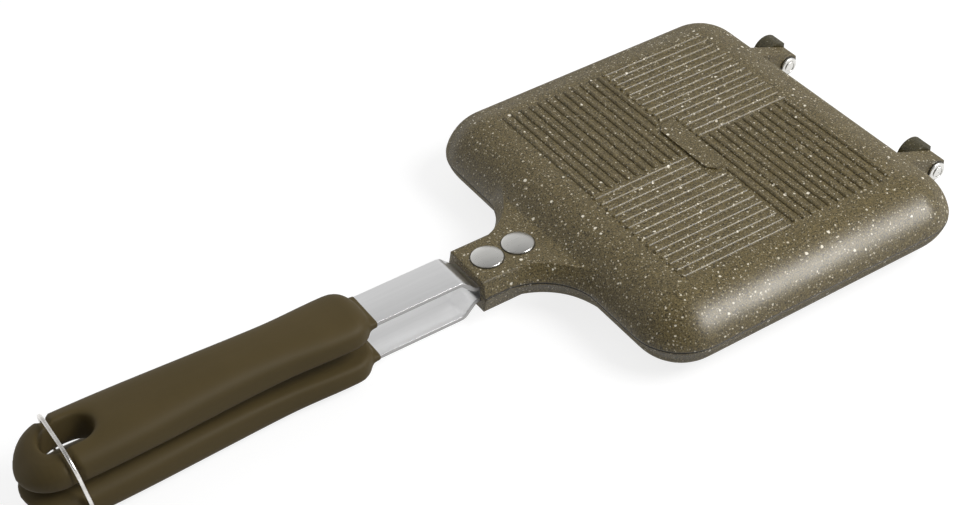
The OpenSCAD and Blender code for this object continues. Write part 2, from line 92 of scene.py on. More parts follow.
picture_width, picture_height = 980, 505
focal_pixels = 1888.13
centre_x, centre_y = 500.06, 254.76
camera_data.sensor_fit = "HORIZONTAL"
camera_data.sensor_width = 36
camera_data.lens = focal_pixels * 36 / picture_width
camera_data.shift_x = (picture_width / 2 - centre_x) / picture_width
camera_data.shift_y = (centre_y - picture_height / 2) / picture_width
camera_data.clip_start = 0.01
print("lens", round(camera_data.lens, 2), "mm")

# %% [markdown]
# ## Tools for materials
# All patterns here read Object coordinates, because every piece has its place in its own mesh.
# The coordinates are turned into millimetres first, so that each size below is a real size.

# %% Node helpers
def new_material(name):
    """An empty material with its Principled shader, and the tools to add and join nodes."""
    material = bpy.data.materials.new(name)
    material.use_nodes = True
    tree = material.node_tree
    return material, tree, tree.nodes["Principled BSDF"]


def node(tree, kind, label="", **settings):
    """One node with its settings. Keys that name an input set that input's value."""
    made = tree.nodes.new(kind)
    made.label = label
    for key, value in settings.items():
        if hasattr(made, key):
            setattr(made, key, value)
        else:
            made.inputs[key.replace("_", " ")].default_value = value
    return made


def join(tree, start, end):
    tree.links.new(start, end)


def millimetres(tree):
    """Object coordinates in millimetres."""
    place = node(tree, "ShaderNodeTexCoord")
    scaled = node(tree, "ShaderNodeVectorMath", operation="SCALE")
    scaled.inputs["Scale"].default_value = 1000
    join(tree, place.outputs["Object"], scaled.inputs[0])
    return scaled.outputs[0]


def start_group(name, inputs, outputs):
    """A shader node group with sockets given as {name: (type, value)} and {name: type}."""
    group = bpy.data.node_groups.new(name, "ShaderNodeTree")
    for socket_name, (kind, value) in inputs.items():
        socket = group.interface.new_socket(socket_name, in_out="INPUT", socket_type=kind)
        if value is not None:
            socket.default_value = value
    for socket_name, kind in outputs.items():
        group.interface.new_socket(socket_name, in_out="OUTPUT", socket_type=kind)
    return group, group.nodes.new("NodeGroupInput"), group.nodes.new("NodeGroupOutput")


def place_group(tree, group, **values):
    made = tree.nodes.new("ShaderNodeGroup")
    made.node_tree = group
    for key, value in values.items():
        made.inputs[key.replace("_", " ")].default_value = value
    return made


# %% [markdown]
# ## Floor, world and lamps
# A product picture has a white ground and soft light. The floor is one plane. To the camera, in
# reflections and through glass it glows most of the way to white and still takes a faint shadow.
# To the light that bounces it is a dark grey, so that the iron's undersides stay dark.

# %% Floor
FLOOR_HALF = 4
floor_mesh = bpy.data.meshes.new("floor")
floor_builder = bmesh.new()
bmesh.ops.create_grid(floor_builder, x_segments=1, y_segments=1, size=FLOOR_HALF)
floor_builder.to_mesh(floor_mesh)
floor_builder.free()
floor = bpy.data.objects.new("floor", floor_mesh)
bpy.context.scene.collection.objects.link(floor)

floor_material, tree, shader = new_material("white_floor")
path = node(tree, "ShaderNodeLightPath")
mirrored = node(tree, "ShaderNodeMath", "mirrored or through glass", operation="MAXIMUM")
seen = node(tree, "ShaderNodeMath", "or seen by the camera", operation="MAXIMUM")
join(tree, path.outputs["Is Glossy Ray"], mirrored.inputs[0])
join(tree, path.outputs["Is Transmission Ray"], mirrored.inputs[1])
join(tree, path.outputs["Is Camera Ray"], seen.inputs[0])
join(tree, mirrored.outputs[0], seen.inputs[1])
for socket, in_bounces, in_view in (
        ("Base Color", (0.10, 0.10, 0.095, 1), (0.30, 0.30, 0.30, 1)),
        ("Emission Color", (0, 0, 0, 1), (0.80, 0.80, 0.80, 1))):
    shade = node(tree, "ShaderNodeMix", socket, data_type="RGBA")
    shade.inputs[6].default_value = in_bounces
    shade.inputs[7].default_value = in_view
    join(tree, seen.outputs[0], shade.inputs[0])
    join(tree, shade.outputs[2], shader.inputs[socket])
shader.inputs["Emission Strength"].default_value = 1.0
shader.inputs["Roughness"].default_value = 1.0
shader.inputs["Specular IOR Level"].default_value = 0.0
floor_mesh.materials.append(floor_material)
print("floor", 2 * FLOOR_HALF, "m wide")

# %% [markdown]
# The room is a white backdrop behind the iron and a darker studio behind the camera. The world
# is a gradient along the line from one to the other, with a bright strip low down at the back.
# Steel shows that gradient, and the far shoulders of the plates catch the strip. The camera and
# rays through glass see plain white everywhere, and mirrored rays see it where the backdrop is.

# %% World: a gradient from the studio to the backdrop
scene = bpy.context.scene
scene.view_settings.view_transform = "Standard"
world = bpy.data.worlds.new("studio")
scene.world = world
world.use_nodes = True
tree = world.node_tree
tree.nodes.clear()
direction = node(tree, "ShaderNodeTexCoord")
to_backdrop = node(tree, "ShaderNodeVectorMath", "towards the backdrop",
                   operation="DOT_PRODUCT")
to_backdrop.inputs[1].default_value = (0.10, 0.75, -0.35)
room_tone = node(tree, "ShaderNodeMapRange", "dark studio, white backdrop", From_Min=-0.6,
                 From_Max=0.7, To_Min=0.27, To_Max=0.98)
direction_parts = node(tree, "ShaderNodeSeparateXYZ")
low_strip = node(tree, "ShaderNodeMapRange", "strip above the floor", From_Min=0.0,
                 From_Max=0.4, To_Min=0.3, To_Max=0.0)
strip_at_back = node(tree, "ShaderNodeMath", "only at the back", operation="MULTIPLY",
                     use_clamp=True)
room_and_strip = node(tree, "ShaderNodeMath", operation="ADD")
soft_light = node(tree, "ShaderNodeBackground", "light of the room")
join(tree, direction.outputs["Generated"], to_backdrop.inputs[0])
join(tree, to_backdrop.outputs["Value"], room_tone.inputs["Value"])
join(tree, direction.outputs["Generated"], direction_parts.inputs[0])
join(tree, direction_parts.outputs["Z"], low_strip.inputs["Value"])
join(tree, low_strip.outputs[0], strip_at_back.inputs[0])
join(tree, to_backdrop.outputs["Value"], strip_at_back.inputs[1])
join(tree, room_tone.outputs[0], room_and_strip.inputs[0])
join(tree, strip_at_back.outputs[0], room_and_strip.inputs[1])
join(tree, room_and_strip.outputs[0], soft_light.inputs["Strength"])

# %% World: who sees plain white
path = node(tree, "ShaderNodeLightPath")
at_backdrop = node(tree, "ShaderNodeMapRange", "where the backdrop is", From_Min=0.55,
                   From_Max=0.75)
mirrored = node(tree, "ShaderNodeMath", "mirrored backdrop", operation="MULTIPLY")
straight = node(tree, "ShaderNodeMath", "camera or through glass", operation="MAXIMUM")
sees_white = node(tree, "ShaderNodeMath", operation="MAXIMUM")
white_ground = node(tree, "ShaderNodeBackground", "white", Color=(1, 1, 1, 1), Strength=1.0)
chosen = node(tree, "ShaderNodeMixShader")
world_output = node(tree, "ShaderNodeOutputWorld")
join(tree, to_backdrop.outputs["Value"], at_backdrop.inputs["Value"])
join(tree, at_backdrop.outputs[0], mirrored.inputs[0])
join(tree, path.outputs["Is Glossy Ray"], mirrored.inputs[1])
join(tree, path.outputs["Is Camera Ray"], straight.inputs[0])
join(tree, path.outputs["Is Transmission Ray"], straight.inputs[1])
join(tree, straight.outputs[0], sees_white.inputs[0])
join(tree, mirrored.outputs[0], sees_white.inputs[1])
join(tree, sees_white.outputs[0], chosen.inputs["Fac"])
join(tree, soft_light.outputs[0], chosen.inputs[1])
join(tree, white_ground.outputs[0], chosen.inputs[2])
join(tree, chosen.outputs[0], world_output.inputs["Surface"])
print("world nodes:", len(tree.nodes))

# %% [markdown]
# Two softboxes stand on the near side. The lower one draws the highlight along the near shoulder
# and is seen only in reflections. The higher one gives the light that falls on the iron and isn't
# seen in reflections, so the upright sides turn dark without moving the highlight.

# %% Lamps


def softbox(name, place, target, width, height, watts):
    """A rectangular lamp at a place, turned to face a target."""
    lamp_data = bpy.data.lights.new(name, "AREA")
    lamp_data.shape = "RECTANGLE"
    lamp_data.size = width
    lamp_data.size_y = height
    lamp_data.energy = watts
    lamp = bpy.data.objects.new(name, lamp_data)
    lamp.location = place
    lamp.rotation_euler = (Vector(target) - Vector(place)).to_track_quat("-Z", "Y").to_euler()
    scene.collection.objects.link(lamp)
    return lamp


shine = softbox("near_softbox", (0.56, -0.84, 0.62), (0.03, 0, 0), 0.62, 0.56, 17)
shine.visible_diffuse = False
fill = softbox("high_softbox", (0.42, -0.62, 0.86), (0.03, 0, 0), 0.62, 0.54, 10)
fill.visible_glossy = False
print("lamps:", shine.name, fill.name)

# %% Group: specks
specks, given, result = start_group(
    "specks",
    {"Vector": ("NodeSocketVector", None), "Cell": ("NodeSocketFloat", 2.0),
     "Radius": ("NodeSocketFloat", 0.4), "Share": ("NodeSocketFloat", 0.5),
     "Shift": ("NodeSocketVector", (0, 0, 0))},
    {"Mask": "NodeSocketFloat"})
wobble = node(specks, "ShaderNodeTexNoise", "ragged outline", Scale=1.6, Detail=1.0)
wobble_size = node(specks, "ShaderNodeVectorMath", operation="MULTIPLY_ADD")
wobble_size.inputs[1].default_value = (0.7, 0.7, 0.7)
shifted = node(specks, "ShaderNodeVectorMath", operation="ADD")
cells = node(specks, "ShaderNodeVectorMath", operation="DIVIDE")
dots = node(specks, "ShaderNodeTexVoronoi", "one dot a cell", Scale=1.0, Randomness=1.0)
pick = node(specks, "ShaderNodeSeparateColor")
present = node(specks, "ShaderNodeMath", "only some cells have one", operation="LESS_THAN")
in_mm = node(specks, "ShaderNodeMath", operation="MULTIPLY")
size_spread = node(specks, "ShaderNodeMapRange", "sizes differ", To_Min=0.35, To_Max=1.0)
this_radius = node(specks, "ShaderNodeMath", operation="MULTIPLY")
inside = node(specks, "ShaderNodeMath", operation="SUBTRACT")
sharpened = node(specks, "ShaderNodeMapRange", "soft edge", From_Min=-0.04, From_Max=0.08)
kept = node(specks, "ShaderNodeMath", operation="MULTIPLY")
join(specks, given.outputs["Vector"], wobble.inputs["Vector"])
join(specks, wobble.outputs["Color"], wobble_size.inputs[0])
join(specks, given.outputs["Vector"], wobble_size.inputs[2])
join(specks, wobble_size.outputs[0], shifted.inputs[0])
join(specks, given.outputs["Shift"], shifted.inputs[1])
join(specks, shifted.outputs[0], cells.inputs[0])
join(specks, given.outputs["Cell"], cells.inputs[1])
join(specks, cells.outputs[0], dots.inputs["Vector"])
join(specks, dots.outputs["Color"], pick.inputs[0])
join(specks, pick.outputs["Red"], present.inputs[0])
join(specks, given.outputs["Share"], present.inputs[1])
join(specks, dots.outputs["Distance"], in_mm.inputs[0])
join(specks, given.outputs["Cell"], in_mm.inputs[1])
join(specks, pick.outputs["Green"], size_spread.inputs["Value"])
join(specks, size_spread.outputs[0], this_radius.inputs[0])
join(specks, given.outputs["Radius"], this_radius.inputs[1])
join(specks, this_radius.outputs[0], inside.inputs[0])
join(specks, in_mm.outputs[0], inside.inputs[1])
join(specks, inside.outputs[0], sharpened.inputs["Value"])
join(specks, sharpened.outputs[0], kept.inputs[0])
join(specks, present.outputs[0], kept.inputs[1])
join(specks, kept.outputs[0], result.inputs["Mask"])

# %% Group: cloudy variation
clouding, given, result = start_group(
    "clouding",
    {"Vector": ("NodeSocketVector", None), "Size": ("NodeSocketFloat", 10.0),
     "Low": ("NodeSocketFloat", 0.0), "High": ("NodeSocketFloat", 1.0)},
    {"Value": "NodeSocketFloat"})
sized = node(clouding, "ShaderNodeVectorMath", operation="DIVIDE")
noise = node(clouding, "ShaderNodeTexNoise", Scale=1.0, Detail=4.0, Roughness=0.6)
spread = node(clouding, "ShaderNodeMapRange", From_Min=0.3, From_Max=0.7)
join(clouding, given.outputs["Vector"], sized.inputs[0])
join(clouding, given.outputs["Size"], sized.inputs[1])
join(clouding, sized.outputs[0], noise.inputs["Vector"])
join(clouding, noise.outputs[0], spread.inputs["Value"])
join(clouding, given.outputs["Low"], spread.inputs["To Min"])
join(clouding, given.outputs["High"], spread.inputs["To Max"])
join(clouding, spread.outputs[0], result.inputs["Value"])

# %% Group: faces that look along Y
side_faces, given, result = start_group(
    "side_faces", {"Normal": ("NodeSocketVector", None)}, {"Mask": "NodeSocketFloat"})
normal_parts = node(side_faces, "ShaderNodeSeparateXYZ")
sideways = node(side_faces, "ShaderNodeMath", operation="ABSOLUTE")
on_side = node(side_faces, "ShaderNodeMapRange", From_Min=0.6, From_Max=0.8)
join(side_faces, given.outputs["Normal"], normal_parts.inputs[0])
join(side_faces, normal_parts.outputs["Y"], sideways.inputs[0])
join(side_faces, sideways.outputs[0], on_side.inputs["Value"])
join(side_faces, on_side.outputs[0], result.inputs["Mask"])
print("shader groups:", len(bpy.data.node_groups))


def place_side_faces(tree):
    """The side-face mask, read from the piece's own normals."""
    facing = node(tree, "ShaderNodeTexCoord")
    mask = place_group(tree, side_faces)
    join(tree, facing.outputs["Normal"], mask.inputs["Normal"])
    return mask.outputs[0]


# %% [markdown]
# ## Speckled coating on the cast plates
# The plates are die-cast aluminium with an olive-brown non-stick coating. It is satin and grainy:
# a fine dark and light grain everywhere, and cream specks of four sizes sprayed into it. Each
# size is one layer of the speck group, shifted so that the layers don't repeat each other.

# %% Coating
coating, tree, shader = new_material("speckled_coating")
mm = millimetres(tree)
dust = place_group(tree, specks, Cell=0.75, Radius=0.24, Share=0.6, Shift=(3, 17, 5))
fine = place_group(tree, specks, Cell=1.1, Radius=0.32, Share=0.62)
middle = place_group(tree, specks, Cell=1.9, Radius=0.44, Share=0.6, Shift=(31, 7, 3))
large = place_group(tree, specks, Cell=3.8, Radius=0.68, Share=0.5, Shift=(11, 57, 23))
pits = place_group(tree, specks, Cell=0.8, Radius=0.3, Share=0.7, Shift=(41, 2, 13))
grain = place_group(tree, clouding, Size=0.55, Low=0.0, High=1.0)
for layer in (dust, fine, middle, large, pits, grain):
    join(tree, mm, layer.inputs["Vector"])


def over(tree, mask, below, colour, label):
    """A colour laid over what is below where the mask is white."""
    laid = node(tree, "ShaderNodeMix", label, data_type="RGBA")
    laid.inputs[7].default_value = (*colour, 1)
    join(tree, mask, laid.inputs[0])
    join(tree, below, laid.inputs[6])
    return laid.outputs[2]


ground = node(tree, "ShaderNodeMix", "dark and light grain", data_type="RGBA")
ground.inputs[6].default_value = (0.006, 0.004, 0.001, 1)
ground.inputs[7].default_value = (0.246, 0.190, 0.078, 1)
join(tree, grain.outputs[0], ground.inputs[0])
tone = over(tree, pits.outputs[0], ground.outputs[2], (0.022, 0.017, 0.007), "dark pits")
tone = over(tree, dust.outputs[0], tone, (0.33, 0.29, 0.19), "dust")
tone = over(tree, fine.outputs[0], tone, (0.52, 0.46, 0.33), "fine specks")
tone = over(tree, middle.outputs[0], tone, (0.70, 0.64, 0.50), "middle specks")
tone = over(tree, large.outputs[0], tone, (0.86, 0.80, 0.66), "large specks")

# %% [markdown]
# Where the two castings meet, the photo shows a thin dark line round the plates and the tangs.
# It is painted shade of the narrow gap between the castings, laid on the coating. Its mask is the
# distance from the closing plane. The same distance widens the rounding of the rims, and a second
# mask widens it along the tang, whose upper edges are cast rounder than the ribs are.

# %% Parting line and round edges
CLOSING_Z = 16.2
height = node(tree, "ShaderNodeSeparateXYZ")
from_plane = node(tree, "ShaderNodeMath", "height above the closing plane", operation="SUBTRACT")
from_plane.inputs[1].default_value = CLOSING_Z
off_plane = node(tree, "ShaderNodeMath", operation="ABSOLUTE")
seam_shade = node(tree, "ShaderNodeMapRange", "parting line", From_Min=0.16, From_Max=0.42,
            To_Min=0.88, To_Max=0.0)
rim = node(tree, "ShaderNodeMapRange", "rim", From_Min=1.2, From_Max=2.2,
           To_Min=0.8 * MM, To_Max=0.15 * MM)
tang = node(tree, "ShaderNodeMapRange", "tang", From_Min=-82, From_Max=-78,
            To_Min=1.5 * MM, To_Max=0.15 * MM)
edge_radius = node(tree, "ShaderNodeMath", "wider of the two", operation="MAXIMUM")
join(tree, mm, height.inputs[0])
join(tree, height.outputs["Z"], from_plane.inputs[0])
join(tree, from_plane.outputs[0], off_plane.inputs[0])
join(tree, off_plane.outputs[0], seam_shade.inputs["Value"])
join(tree, off_plane.outputs[0], rim.inputs["Value"])
join(tree, height.outputs["X"], tang.inputs["Value"])
join(tree, rim.outputs[0], edge_radius.inputs[0])
join(tree, tang.outputs[0], edge_radius.inputs[1])
# Painted shade: the coating turns near black along the gap at the closing plane.
tone = over(tree, seam_shade.outputs[0], tone, (0.010, 0.008, 0.005), "dark line")

# %% [markdown]
# Painted shade darkens the coating where metal parts meet it: a ring round each rivet head on
# the tang, and round the pins' heads on the sides of the ears. Each ring is a range of distance
# from the axis of the rivet or pin. The distance is measured with the part along the axis set to
# zero.

# %% Painted shade round rivets and pins
RIVET_PLACES = (-91.45, -78.35)
PIN_X = 77.25
# The colour of the painted shade round rivet heads and pin heads.
CONTACT_SHADE = (0.012, 0.010, 0.006)


def ring_round(across, axis_place, label, near, far, strength):
    """A mask that is full up to the near distance from an axis and gone at the far one."""
    flat = node(tree, "ShaderNodeVectorMath", operation="MULTIPLY")
    flat.inputs[1].default_value = across
    from_axis = node(tree, "ShaderNodeVectorMath", operation="DISTANCE")
    from_axis.inputs[1].default_value = axis_place
    ring = node(tree, "ShaderNodeMapRange", label, From_Min=near, From_Max=far,
                To_Min=strength, To_Max=0.0)
    join(tree, mm, flat.inputs[0])
    join(tree, flat.outputs[0], from_axis.inputs[0])
    join(tree, from_axis.outputs["Value"], ring.inputs["Value"])
    return ring.outputs[0]


def both(first, second):
    """Where both masks are white."""
    product = node(tree, "ShaderNodeMath", operation="MULTIPLY")
    join(tree, first, product.inputs[0])
    join(tree, second, product.inputs[1])
    return product.outputs[0]


# Painted shade: a dark ring on the coating round each rivet head.
for rivet_x in RIVET_PLACES:
    round_rivet = ring_round((1, 1, 0), (rivet_x, 0, 0), "round a rivet", 6.15, 6.6, 0.85)
    tone = over(tree, round_rivet, tone, CONTACT_SHADE, "painted_shade")
round_pin = ring_round((1, 0, 1), (PIN_X, 0, CLOSING_Z), "round a pin", 3.8, 4.5, 0.9)
pin_shade = both(round_pin, place_side_faces(tree))

# %% [markdown]
# The hooks of the lower casting's ears look nearly black in the photo, so painted shade darkens
# them. They are all that the lower casting has above the closing plane past X = 70 mm. The two
# hinges lie 85.4 mm apart, so Y is wrapped at that distance, and one bound then picks the same
# side of both.

# %% Painted shade on the hooks of the hinges
HINGE_SPACING = 85.4
HOOK_BOUNDS = {"Y": (42.6, 42.7), "X": (69.8, 70.4), "Z": (16.3, 16.9)}
wrapped = node(tree, "ShaderNodeMath", "the same for both hinges", operation="WRAP")
wrapped.inputs[1].default_value = HINGE_SPACING
wrapped.inputs[2].default_value = 0
join(tree, height.outputs["Y"], wrapped.inputs[0])
inside_hook = []
for axis, (low, high) in HOOK_BOUNDS.items():
    bound = node(tree, "ShaderNodeMapRange", "past " + axis, From_Min=low, From_Max=high)
    join(tree, wrapped.outputs[0] if axis == "Y" else height.outputs[axis], bound.inputs["Value"])
    inside_hook.append(bound.outputs[0])
# Painted shade: the hooks' coating is darkened two thirds of the way to near black.
hook_shade = node(tree, "ShaderNodeMath", "painted shade on the hooks", operation="MULTIPLY")
hook_shade.inputs[1].default_value = 0.66
join(tree, both(both(inside_hook[0], inside_hook[1]), inside_hook[2]), hook_shade.inputs[0])
tone = over(tree, hook_shade.outputs[0], tone, (0.016, 0.017, 0.004), "hooks")
# Painted shade: a dark ring round each pin head on the ears' side faces.
tone = over(tree, pin_shade, tone, CONTACT_SHADE, "painted_shade")
join(tree, tone, shader.inputs["Base Color"])
print("coating nodes:", len(tree.nodes))

# %% [markdown]
# The sheen varies slowly over the coating. Such a satin coat also looks duller at a low angle
# than plain roughness gives, so Layer Weight adds to the roughness there. The orange-peel bump is
# fine and weak, and it sits on the rounded normal of the cast edges.

# %% Sheen and grain of the coating
sheen_patches = place_group(tree, clouding, Size=14.0, Low=0.36, High=0.44)
join(tree, mm, sheen_patches.inputs["Vector"])
grazing = node(tree, "ShaderNodeLayerWeight", Blend=0.5)
duller = node(tree, "ShaderNodeMapRange", "duller at a low angle", From_Min=0.5, From_Max=0.75,
              To_Min=0.0, To_Max=0.3)
gloss = node(tree, "ShaderNodeMath", "roughness", operation="ADD")
join(tree, grazing.outputs["Facing"], duller.inputs["Value"])
join(tree, sheen_patches.outputs[0], gloss.inputs[0])
join(tree, duller.outputs[0], gloss.inputs[1])
join(tree, gloss.outputs[0], shader.inputs["Roughness"])
orange_peel = place_group(tree, clouding, Size=0.7, Low=0.0, High=1.0)
join(tree, mm, orange_peel.inputs["Vector"])
soft_edge = node(tree, "ShaderNodeBevel", "cast edges are round", samples=6)
join(tree, edge_radius.outputs[0], soft_edge.inputs["Radius"])
bump = node(tree, "ShaderNodeBump", Strength=0.35, Distance=0.05 * MM)
join(tree, orange_peel.outputs[0], bump.inputs["Height"])
join(tree, soft_edge.outputs[0], bump.inputs["Normal"])
join(tree, bump.outputs[0], shader.inputs["Normal"])

# %% [markdown]
# ## Silicone of the grips
# The grips are moulded silicone, matt and a little warmer than the coating. Its skin shows only
# a slow change of tone and a very fine texture, so both stay weak.

# %% Grip silicone
silicone, tree, shader = new_material("grip_silicone")
mm = millimetres(tree)
tone = place_group(tree, clouding, Size=22.0, Low=0.0, High=1.0)
join(tree, mm, tone.inputs["Vector"])
colour = node(tree, "ShaderNodeMix", "tone", data_type="RGBA")
colour.inputs[6].default_value = (0.078, 0.056, 0.020, 1)
colour.inputs[7].default_value = (0.088, 0.063, 0.023, 1)
join(tree, tone.outputs[0], colour.inputs[0])
join(tree, colour.outputs[2], shader.inputs["Base Color"])
shader.inputs["Roughness"].default_value = 0.62
shader.inputs["Specular IOR Level"].default_value = 0.2
skin = place_group(tree, clouding, Size=0.35, Low=0.0, High=1.0)
join(tree, mm, skin.inputs["Vector"])
skin_bump = node(tree, "ShaderNodeBump", Strength=0.12, Distance=0.03 * MM)
join(tree, skin.outputs[0], skin_bump.inputs["Height"])
join(tree, skin_bump.outputs[0], shader.inputs["Normal"])

# %% [markdown]
# ## Steels
# The straps are rolled sheet: the rolling leaves long faint streaks along the strap. The rivets
# and pins are turned smooth, so they mirror the room. The streaks are noise whose coordinates
# are stretched along X, and they change colour, roughness and height a little.

# %% Group: streaks along the handle
streaks, given, result = start_group(
    "streaks",
    {"Vector": ("NodeSocketVector", None), "Length": ("NodeSocketFloat", 30.0),
     "Width": ("NodeSocketFloat", 0.3), "Low": ("NodeSocketFloat", 0.0),
     "High": ("NodeSocketFloat", 1.0)},
    {"Value": "NodeSocketFloat"})
stretch = node(streaks, "ShaderNodeCombineXYZ")
pulled = node(streaks, "ShaderNodeVectorMath", operation="DIVIDE")
lines = node(streaks, "ShaderNodeTexNoise", Scale=1.0, Detail=3.0, Roughness=0.65)
lines_spread = node(streaks, "ShaderNodeMapRange", From_Min=0.3, From_Max=0.7)
join(streaks, given.outputs["Length"], stretch.inputs["X"])
join(streaks, given.outputs["Width"], stretch.inputs["Y"])
join(streaks, given.outputs["Width"], stretch.inputs["Z"])
join(streaks, given.outputs["Vector"], pulled.inputs[0])
join(streaks, stretch.outputs[0], pulled.inputs[1])
join(streaks, pulled.outputs[0], lines.inputs["Vector"])
join(streaks, lines.outputs[0], lines_spread.inputs["Value"])
join(streaks, given.outputs["Low"], lines_spread.inputs["To Min"])
join(streaks, given.outputs["High"], lines_spread.inputs["To Max"])
join(streaks, lines_spread.outputs[0], result.inputs["Value"])


def steel_finish(name, dark, bright, low_rough, high_rough, edge_mm, streak_width):
    """A steel with streaked tone and roughness, softly broken edges and fine lines."""
    finish, tree, shader = new_material(name)
    mm = millimetres(tree)
    shader.inputs["Metallic"].default_value = 1.0
    broad = place_group(tree, streaks, Length=60.0, Width=streak_width * 8)
    thin = place_group(tree, streaks, Length=18.0, Width=streak_width,
                       Low=low_rough, High=high_rough)
    for lines in (broad, thin):
        join(tree, mm, lines.inputs["Vector"])
    tone = node(tree, "ShaderNodeMix", "streaked tone", data_type="RGBA")
    tone.inputs[6].default_value = (*dark, 1)
    tone.inputs[7].default_value = (*bright, 1)
    join(tree, broad.outputs[0], tone.inputs[0])
    join(tree, tone.outputs[2], shader.inputs["Base Color"])
    join(tree, thin.outputs[0], shader.inputs["Roughness"])
    round_edge = node(tree, "ShaderNodeBevel", "broken edges", samples=6)
    round_edge.inputs["Radius"].default_value = edge_mm * MM
    lines_bump = node(tree, "ShaderNodeBump", Strength=0.05, Distance=0.02 * MM)
    join(tree, thin.outputs[0], lines_bump.inputs["Height"])
    join(tree, round_edge.outputs[0], lines_bump.inputs["Normal"])
    join(tree, lines_bump.outputs[0], shader.inputs["Normal"])
    return finish, tree, shader, tone.outputs[2], thin.outputs[0]


# %% [markdown]
# A strap is sheared from sheet. Its faces are bright, but the sheared sides are dull and darker,
# with a thin bright line where the edge was broken. The side faces are found by their normal.
# Wire and rivets need no such mask, so they take the plain finish.

# %% Strap, wire and rivet steels
steel, tree, shader, face_tone, face_rough = steel_finish(
    "brushed_strap", (0.86, 0.86, 0.86), (0.92, 0.92, 0.92), 0.30, 0.35, 0.3, 0.35)
sheared = place_side_faces(tree)
side_rough = node(tree, "ShaderNodeMix", "dull sides", data_type="FLOAT")
side_rough.inputs[3].default_value = 0.5
join(tree, over(tree, sheared, face_tone, (0.36, 0.355, 0.35), "darker sides"),
     shader.inputs["Base Color"])
join(tree, sheared, side_rough.inputs[0])
join(tree, face_rough, side_rough.inputs[2])
join(tree, side_rough.outputs[0], shader.inputs["Roughness"])
wire_steel = steel_finish(
    "drawn_wire", (0.62, 0.60, 0.57), (0.85, 0.83, 0.80), 0.22, 0.34, 0.1, 0.4)[0]
polished = steel_finish(
    "rivet_steel", (0.68, 0.67, 0.64), (0.74, 0.73, 0.70), 0.26, 0.34, 0.2, 0.5)[0]
print("steels:", steel.name, wire_steel.name, polished.name)

# %% [markdown]
# ## Copies of the solid parts
# The frame's own parts are loose triangles, so each one is copied and merged before it gets a
# finish. The castings and the wire keep their exact shape. The straps, rivets and pins are metal
# with broken edges, so their sharp edges get a real bevel that can catch the light.

# %% Copies
def merged(name):
    """The CAD node's triangles as one bmesh with shared corners."""
    builder = bmesh.new()
    builder.from_mesh(nodes[name].data)
    bmesh.ops.remove_doubles(builder, verts=builder.verts, dist=0.002 * MM)
    return builder


def finish_piece(builder, name, material, angle=35):
    """Turn a bmesh into the piece that stands in for a CAD node."""
    limit = math.radians(angle)
    for face in builder.faces:
        face.smooth = True
    for edge in builder.edges:
        edge.smooth = len(edge.link_faces) == 2 and edge.calc_face_angle(0) < limit
    mesh = bpy.data.meshes.new(name + "_finish")
    builder.to_mesh(mesh)
    builder.free()
    mesh.materials.append(material)
    piece = bpy.data.objects.new(name + "_finish", mesh)
    scene.collection.objects.link(piece)
    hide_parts(name)
    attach(piece, nodes[name]["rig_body"])
    print(name, len(mesh.polygons), "faces")
    return piece


def with_broken_edges(name, width_mm, segments=4):
    """A merged copy whose sharp outer edges are bevelled."""
    builder = merged(name)
    bmesh.ops.dissolve_limit(builder, angle_limit=math.radians(0.4),
                             verts=builder.verts, edges=builder.edges)
    sharp = [edge for edge in builder.edges if len(edge.link_faces) == 2
             and edge.is_convex and edge.calc_face_angle(0) > math.radians(32)]
    bmesh.ops.bevel(builder, geom=sharp, offset=width_mm * MM, segments=segments,
                    profile=0.5, affect="EDGES", clamp_overlap=True, material=-1)
    return builder


# %% Castings and metal parts
for name in ("lower_plate", "upper_plate"):
    finish_piece(merged(name), name, coating)
for name in ("lower_strap", "upper_strap"):
    finish_piece(with_broken_edges(name, 0.25), name, steel)
for name in ("lower_front_rivet", "lower_rear_rivet", "upper_front_rivet", "upper_rear_rivet"):
    finish_piece(with_broken_edges(name, 0.42), name, polished)

# %% [markdown]
# The tool that closes a hinge pin leaves a raised ring on its head. A small circle is spun round
# the pin's axis, which gives a closed ring. It lies half in the head's face.

# %% Hinge pins and the wire
BEAD_RADIUS, BEAD_WIDTH, BEAD_HEIGHT, BEAD_SUNK = 2.15, 0.34, 0.13, 0.04
BEAD_CORNERS, BEAD_STEPS = 12, 48


def ringed_pin(name):
    """A hinge pin with a raised ring on the outer face of its head."""
    builder = with_broken_edges(name, 0.35)
    end = min(corner.co.y for corner in builder.verts)
    profile = []
    for step in range(BEAD_CORNERS):
        angle = math.tau * step / BEAD_CORNERS
        profile.append(builder.verts.new((
            (PIN_X + BEAD_RADIUS + BEAD_WIDTH * math.cos(angle)) * MM,
            end + (BEAD_SUNK - BEAD_HEIGHT * math.sin(angle)) * MM, CLOSING_Z * MM)))
    outline = [builder.edges.new(pair) for pair in zip(profile, profile[1:] + profile[:1])]
    bmesh.ops.spin(builder, geom=profile + outline, cent=(PIN_X * MM, 0, CLOSING_Z * MM),
                   axis=(0, 1, 0), angle=math.tau, steps=BEAD_STEPS, use_merge=True)
    bmesh.ops.recalc_face_normals(builder, faces=builder.faces)
    return builder


for name in ("near_hinge_pin", "far_hinge_pin"):
    finish_piece(ringed_pin(name), name, polished)
finish_piece(merged("wire_clip"), "wire_clip", wire_steel)

# %% [markdown]
# ## Soft grips
# Moulded silicone has no sharp edge anywhere: the collar grows out of the grip in a soft curve,
# and the hanging hole has thick rolled rims. The pocket for the strap is closed first, because
# the strap fills it. A voxel remesh then makes one even skin of the whole grip.

# %% Closing the pocket
POCKET_X, POCKET_Y = (-235.2, -141.2), (-8.25, 8.25)


